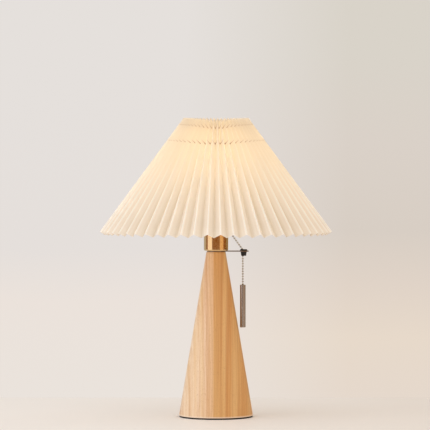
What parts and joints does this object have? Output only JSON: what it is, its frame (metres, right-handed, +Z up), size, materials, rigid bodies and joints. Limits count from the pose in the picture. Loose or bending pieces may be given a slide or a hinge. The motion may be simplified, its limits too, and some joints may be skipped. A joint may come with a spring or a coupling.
{
  "type": "pleated table lamp",
  "caption": "Table lamp with a tapered wooden body, brass cup, pleated cloth shade on a wire frame, and a ball pull chain with a metal bar pendant.",
  "frame": {"origin": "centre of the foot pad's underside, on the table", "axes": "+Z up along the lamp's axis, -Y towards the picture's viewer, +X towards the pull chain"},
  "size_m": [0.3594, 0.3594, 0.4637],
  "materials": {
    "wood": "satin lacquered light wood, vertical grain",
    "pad": "matt black foot pad",
    "iron": "raw cast weight",
    "steel": "zinc plated",
    "arm_steel": "satin plated strip",
    "brass": "brushed and lacquered",
    "black_plastic": "moulded, matt",
    "white_plastic": "moulded, matt",
    "chain_metal": "nickel plated ball chain",
    "pendant_metal": "dark antique bronze lacquer",
    "porcelain": "unglazed",
    "contact_brass": "bare pressed sheet",
    "bulb_insulator": "black insulator with a solder spot",
    "bulb_cap_metal": "rolled sheet",
    "bulb_white": "moulded heat sink cover",
    "frame_white": "white coated wire",
    "cloth": "woven cream cloth on a stiff backing, pleated",
    "thread": "sewing thread",
    "bulb_diffuser": "frosted diffuser, lit"
  },
  "bodies": {
    "stand": {"base_pad": "pad", "base_weight": "iron", "wood_cone": "wood", "cord_bush": "black_plastic", "threaded_rod": "steel", "bottom_washer": "steel", "bottom_nut": "steel", "guide_arm": "arm_steel", "chain_guide": "black_plastic", "holder_cup": "brass", "cup_nut": "steel", "switch_body": "black_plastic", "chain_spout": "brass", "return_spring": "steel", "chain_bend": "chain_metal", "holder_shell": "white_plastic", "socket_insert": "porcelain", "screw_shell": "contact_brass", "centre_contact": "contact_brass", "lower_shade_ring": "white_plastic", "upper_shade_ring": "white_plastic", "fitter_ring": "frame_white", "fitter_arms": "frame_white", "top_ring": "frame_white", "frame_ribs": "frame_white", "bottom_ring": "frame_white", "shade_skirt": "cloth", "upper_thread": "thread", "lower_thread": "thread"},
    "pull_lead": {"chain_lead": "chain_metal"},
    "pull_rod": {"chain_upper": "chain_metal", "pull_slider": "black_plastic"},
    "swing_link": {"guide_bead": "chain_metal"},
    "pendant": {"chain_lower": "chain_metal", "pendant_bar": "pendant_metal"},
    "bulb_foot": {"bulb_contact": "bulb_insulator"},
    "bulb": {"bulb_cap": "bulb_cap_metal", "bulb_housing": "bulb_white", "bulb_globe": "bulb_diffuser"}
  },
  "joints": [
    {"name": "pull", "type": "slide", "parent": "stand", "child": "pull_lead", "axis": [0, 0, -1], "range_m": [0, 0.0079], "stiffness_N_per_m": 400, "springref_m": -0.005, "deforming": ["chain_bend"]},
    {"name": "pull_in_cup", "type": "slide", "parent": "stand", "child": "pull_rod", "axis": [0.5878, 0, -0.809], "range_m": [0, 0.0079], "deforming": ["return_spring"]},
    {"name": "pendant_sway", "type": "hinge", "parent": "pull_lead", "child": "swing_link", "pos_m": [0.0415, 0, 0.24913], "axis": [1, 0, 0], "range_deg": [-50, 50]},
    {"name": "pendant_swing_out", "type": "hinge", "parent": "swing_link", "child": "pendant", "pos_m": [0.0415, 0, 0.24913], "axis": [0, -1, 0], "range_deg": [-1, 50]},
    {"name": "bulb_lift", "type": "slide", "parent": "stand", "child": "bulb_foot", "axis": [0, 0, 1], "range_m": [0, 0.024]},
    {"name": "bulb_turn", "type": "hinge", "parent": "bulb_foot", "child": "bulb", "pos_m": [0, 0, 0.337], "axis": [0, 0, 1], "range_deg": [0, 2385]}
  ],
  "couplings": [
    {"joint": "pull_in_cup", "follows": "pull", "ratio": 1},
    {"joint": "bulb_turn", "follows": "bulb_lift", "rad_per_m": 1731.4}
  ]
}
